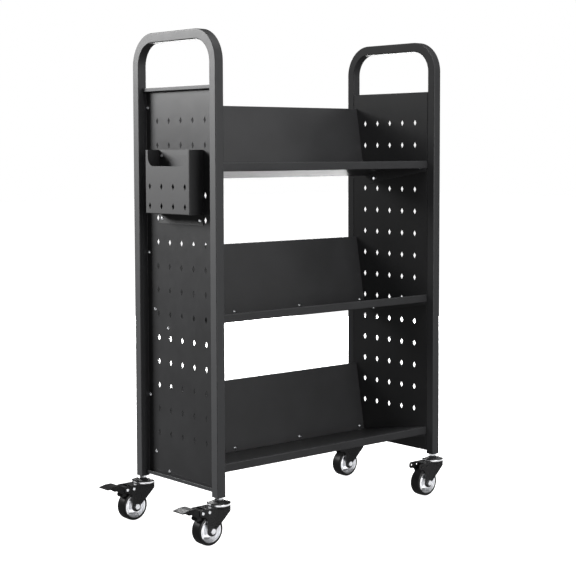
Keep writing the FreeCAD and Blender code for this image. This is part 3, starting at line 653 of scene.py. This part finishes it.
def press_windows(piece, centre, windows):
    """Press kidney-shaped recesses into both faces of a hub's web."""
    share = 2 * math.pi / windows
    for side in (-1, 1):
        open_edit(piece, "FACE")

        def in_window(place, normal):
            out = place - centre
            ring = math.hypot(out.x, out.z)
            turn = (math.atan2(out.z, out.x) + share) % share
            return (WINDOW_RINGS[0] < ring < WINDOW_RINGS[1] and side * normal.y > 0.9
                    and WINDOW_SHARE[0] * share < turn < WINDOW_SHARE[1] * share)

        choose_faces(in_window)
        bpy.ops.mesh.inset(thickness=WINDOW_LIP, depth=0.0, use_even_offset=True)
        push((0, -side * WINDOW_DEPTH, 0))
        bpy.ops.mesh.inset(thickness=WINDOW_FLOOR, depth=0.0, use_even_offset=True)
    rest()


class CART_OT_hubs(bpy.types.Operator):
    """Turn the hubs: rolled rim, dished face with windows pressed into it, and the bearing boss."""
    bl_idname = "cart.hubs"
    bl_label = "Hubs"

    def execute(self, context):
        sizes = context.scene.cart_sizes
        for corner in CORNERS:
            node = corner + "_wheel_hub"
            centre, size = span(node)
            rim = size.z / 2
            boss_face = size.y / 2
            rim_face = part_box(corner + "_tyre")[1].y - centre.y - RIM_SET_IN
            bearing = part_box(corner + "_wheel_bearings")[1].z - centre.z + BEARING_CLEAR
            boss = [(bearing, -boss_face + BEARING_SEAT), (bearing, -boss_face),
                    (14 * MM, -boss_face), (14.6 * MM, -boss_face + 1 * MM)]
            web = [(16 * MM, -7 * MM), (18.5 * MM, -5.4 * MM), (24.5 * MM, -6.0 * MM),
                   (26.4 * MM, -8.0 * MM)]
            rolled = [(27.4 * MM, -rim_face + 0.8 * MM), (28.2 * MM, -rim_face),
                      (rim - 0.4 * MM, -rim_face), (rim, -rim_face + 0.6 * MM)]
            half = boss + web + rolled
            steps = half + [(ring, -height) for ring, height in reversed(half)]
            piece = lathe(corner + "_hub", centre, Y_AXIS, steps, sizes.wheel_sides)
            press_windows(piece, centre, sizes.hub_windows)
            ease_edges(piece, HUB_EDGE, 2, 30.0)
            smooth(piece, 40.0)
            finish_piece(piece, corner + "_hub", corner + "_wheel", "hub_chrome", node)
        return {"FINISHED"}


class CART_OT_pedals(bpy.types.Operator):
    """Round the pressed edges of the brake pedals."""
    bl_idname = "cart.pedals"
    bl_label = "Brake pedals"

    def execute(self, context):
        for corner in BRAKED:
            node = corner + "_brake_pedal"
            piece = eased_copy(node, PEDAL_EDGE, 3)
            finish_piece(piece, corner + "_pressed_pedal", corner + "_pedal", "pedal_plastic", node)
        return {"FINISHED"}


# ---- studio --------------------------------------------------------------------------------------
def area_light(name, place, aim, width, height, power):
    """Soft light that faces a point."""
    lamp = bpy.data.lights.new(name, "AREA")
    lamp.shape = "RECTANGLE"
    lamp.size = width
    lamp.size_y = height
    lamp.energy = power
    light = bpy.data.objects.new(name, lamp)
    light.location = place
    light.rotation_euler = (Vector(aim) - Vector(place)).to_track_quat("-Z", "Y").to_euler()
    bpy.context.scene.collection.objects.link(light)
    return light


def light_only(lights, name, test):
    """Let lights fall only on the pieces that pass a test."""
    group = bpy.data.collections.new(name)
    for piece in bpy.context.scene.objects:
        if piece.type == "MESH" and test(piece):
            group.objects.link(piece)
    for light in lights:
        light.light_linking.receiver_collection = group


def at_left_end(piece):
    """Whether a piece belongs to the left end, above the casters."""
    beside_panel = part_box("left_side_panel")[1].x + 20 * MM
    above_casters = 0.3
    places = [vertex.co for vertex in piece.data.vertices]
    return (max(place.x for place in places) < beside_panel
            and max(place.z for place in places) > above_casters)


def in_the_shelves(piece):
    """Whether a piece is a shelf, a back plate, or the screws and nuts of one."""
    return "shelf" in piece.name or "plate" in piece.name


def takes_back_light(piece):
    """Whether the light behind falls on a piece.

    It skips the forks, wheels and brakes of the casters, and the two lower shelves.
    """
    return not piece.name.startswith(CORNERS + ("bottom_shelf", "middle_shelf"))


def is_bright_metal(piece):
    """Whether a piece has a bare metal finish."""
    slots = ("fastener_zinc", "race_zinc", "bearing_steel", "hub_chrome")
    bright = [FINISH_NAMES[slot] for slot in slots]
    return bool(piece.data.materials) and piece.data.materials[0].name in bright


FRONT_CARD_SHARE = 0.45         # of the cards' power
LEFT_CARD_SHARE = 0.55
ROOM_LIGHT = 0.12               # strength of the world that lights the cart
PAPER_SIZE = 40.0
PAPER_DROP = 0.5 * MM           # the paper lies this far under the tyres


def hang_lights(studio):
    """Hang the lights. All are soft, and some fall only on the pieces they are meant for."""
    key = area_light("key_light", (-2.7, 3.1, 2.5), (-0.4, 0.0, 1.0), 1.8, 1.4, studio.key_power)
    light_only([key], "left_end", at_left_end)
    floor_card = area_light("floor_card", (1.4, -1.8, 0.02), (1.4, -1.8, 1.0), 6.0, 4.0,
                            studio.card_power)
    front_card = area_light("front_card", (-2.9, -3.9, 0.7), (0.0, 0.0, 0.5), 4.0, 1.6,
                            studio.card_power * FRONT_CARD_SHARE)
    left_card = area_light("left_card", (-3.2, 3.0, 0.7), (0.0, 0.0, 0.6), 3.0, 2.0,
                           studio.card_power * LEFT_CARD_SHARE)
    cards = [floor_card, front_card, left_card]
    light_only(cards, "bright_metal", is_bright_metal)
    for card in cards:
        card.visible_camera = False
    area_light("rear_light", (-2.7, 3.1, 2.5), (0.0, 0.0, 0.8), 1.8, 1.4, studio.rear_power)
    area_light("fill_light", (0.0, -4.4, 1.5), (0.1, 0.0, 0.7), 2.6, 2.2, studio.fill_power)
    shelf_light = area_light("shelf_light", (-1.5, -4.3, 1.7), (0.1, 0.0, 0.7), 2.6, 2.2,
                             studio.shelf_power)
    light_only([shelf_light], "shelves", in_the_shelves)
    area_light("front_light", (2.6, -3.4, 2.4), (0.2, 0.0, 0.8), 2.0, 1.4, studio.front_power)
    area_light("top_light", (0.0, -0.9, 3.2), (0.0, 0.0, 0.6), 2.4, 1.6, studio.top_power)
    back = area_light("back_light", (2.9, 3.2, 0.9), (0.0, 0.0, 0.6), 2.6, 1.8, studio.back_power)
    light_only([back], "above_casters", takes_back_light)


def white_room():
    """World that the camera sees white, and that gives the cart only a little light."""
    world = bpy.data.worlds.new("studio_white")
    world.use_nodes = True
    tree = world.node_tree
    tree.nodes.clear()
    white = (1.0, 1.0, 1.0, 1.0)
    seen = add_node(tree, "ShaderNodeBackground", {"Color": white, "Strength": 1.0})
    room = add_node(tree, "ShaderNodeBackground", {"Color": white, "Strength": ROOM_LIGHT})
    straight = tree.nodes.new("ShaderNodeLightPath").outputs["Is Camera Ray"]
    both = add_node(tree, "ShaderNodeMixShader",
                    {0: straight, 1: room.outputs[0], 2: seen.outputs[0]})
    add_node(tree, "ShaderNodeOutputWorld", {"Surface": both.outputs[0]})
    return world


class CART_OT_studio(bpy.types.Operator):
    """Lay the paper, hang the lights and stand the camera."""
    bl_idname = "cart.studio"
    bl_label = "Studio"

    def execute(self, context):
        scene = context.scene
        studio = scene.cart_studio
        rest()
        bpy.ops.mesh.primitive_grid_add(x_subdivisions=8, y_subdivisions=8, size=PAPER_SIZE,
                                        location=(0, 0, -PAPER_DROP))
        floor = bpy.context.active_object
        settle(floor, "studio_floor")
        floor.data.materials.append(pale_paper("white_studio_paper"))
        floor.visible_diffuse = False
        floor.visible_glossy = False
        hang_lights(studio)
        scene.world = white_room()
        scene.view_settings.view_transform = "Standard"
        lens = bpy.data.cameras.new("camera")
        lens.sensor_width = 36.0
        lens.lens = studio.camera_lens
        lens.shift_y = studio.camera_shift
        camera = bpy.data.objects.new("camera", lens)
        turn = (Matrix.Rotation(-studio.camera_yaw, 3, "Z")
                @ Matrix.Rotation(math.radians(90) + studio.camera_pitch, 3, "X")
                @ Matrix.Rotation(studio.camera_roll, 3, "Z"))
        camera.location = studio.camera_place
        camera.rotation_euler = turn.to_euler()
        scene.collection.objects.link(camera)
        scene.camera = camera
        return {"FINISHED"}


class CART_PT_panel(bpy.types.Panel):
    """Lists the cart's pieces."""
    bl_idname = "CART_PT_panel"
    bl_label = "Book Cart"
    bl_space_type = "VIEW_3D"
    bl_region_type = "UI"
    bl_category = "Book Cart"

    def draw(self, context):
        scene = context.scene
        for group in (scene.cart_colours, scene.cart_sizes, scene.cart_studio):
            box = self.layout.box()
            for name in group.__annotations__:
                box.prop(group, name)
        for operator in PIECES:
            self.layout.operator(operator.bl_idname)


PIECES = (CART_OT_finishes, CART_OT_end_tubes, CART_OT_folded_sheets, CART_OT_forks, CART_OT_tyres,
          CART_OT_hubs, CART_OT_pedals, CART_OT_studio)
GROUPS = (CartColours, CartSizes, CartStudio)


def register():
    for made in GROUPS + PIECES + (CART_PT_panel,):
        bpy.utils.register_class(made)
    bpy.types.Scene.cart_colours = PointerProperty(type=CartColours)
    bpy.types.Scene.cart_sizes = PointerProperty(type=CartSizes)
    bpy.types.Scene.cart_studio = PointerProperty(type=CartStudio)


def unregister():
    del bpy.types.Scene.cart_studio
    del bpy.types.Scene.cart_sizes
    del bpy.types.Scene.cart_colours
    for made in reversed(GROUPS + PIECES + (CART_PT_panel,)):
        bpy.utils.unregister_class(made)


def main():
    register()
    bpy.ops.cart.finishes()
    bpy.ops.cart.end_tubes()
    bpy.ops.cart.folded_sheets()
    bpy.ops.cart.forks()
    bpy.ops.cart.tyres()
    bpy.ops.cart.hubs()
    bpy.ops.cart.pedals()
    bpy.ops.cart.studio()


if __name__ == "__main__":
    main()
